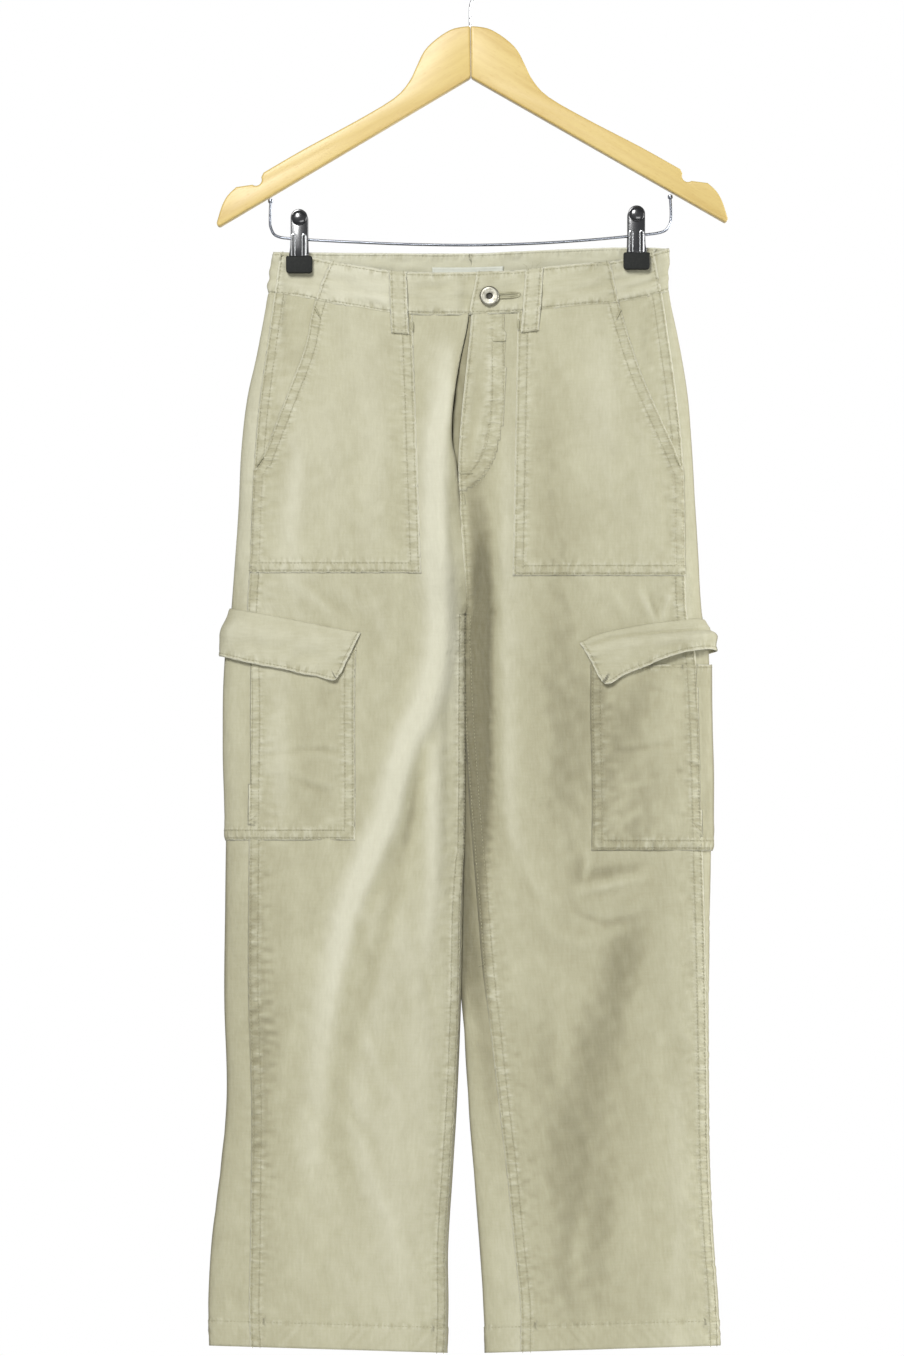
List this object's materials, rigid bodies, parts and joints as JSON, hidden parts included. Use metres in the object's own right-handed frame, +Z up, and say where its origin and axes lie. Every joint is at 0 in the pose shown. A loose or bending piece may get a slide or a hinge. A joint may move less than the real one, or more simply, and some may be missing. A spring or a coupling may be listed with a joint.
{
  "type": "cargo trousers on a clip hanger",
  "caption": "Pale stone cotton-twill cargo trousers with patch and flap pockets, hung by clips from a wooden hanger.",
  "frame": {"origin": "inside top of the hanger's hook, where it rests on a rail", "axes": "+Z up; the garment faces -Y; +X towards the wearer's left"},
  "size_m": [0.4544, 0.062, 1.2327],
  "materials": {
    "twill": "washed cotton twill, matt",
    "label_cloth": "woven satin label, bare",
    "button_metal": "antique silver, worn",
    "beech": "clear lacquer",
    "wire_steel": "plated wire",
    "clip_black": "black, half gloss",
    "pad_rubber": "matt black"
  },
  "bodies": {
    "root": {"front_right": "twill", "front_left": "twill", "back_right": "twill", "back_left": "twill", "band_front_right": "twill", "band_front_left": "twill", "band_side_right": "twill", "band_side_left": "twill", "band_back": "twill", "fly_shield": "twill", "patch_right": "twill", "patch_left": "twill", "cargo_right": "twill", "cargo_left": "twill", "flap_right": "twill", "flap_left": "twill", "loop_front_right": "twill", "loop_front_left": "twill", "loop_back_right": "twill", "loop_back_centre": "twill", "loop_back_left": "twill", "label": "label_cloth", "button": "button_metal", "hanger_right": "beech", "hanger_left": "beech", "hook": "wire_steel", "trouser_bar": "wire_steel", "jaw_front_right": "clip_black", "jaw_back_right": "clip_black", "saddle_right": "clip_black", "stud_right": "clip_black", "pad_front_right": "pad_rubber", "pad_back_right": "pad_rubber", "spring_outer_right": "wire_steel", "spring_inner_right": "wire_steel", "jaw_front_left": "clip_black", "jaw_back_left": "clip_black", "saddle_left": "clip_black", "stud_left": "clip_black", "pad_front_left": "pad_rubber", "pad_back_left": "pad_rubber", "spring_outer_left": "wire_steel", "spring_inner_left": "wire_steel"}
  },
  "joints": []
}
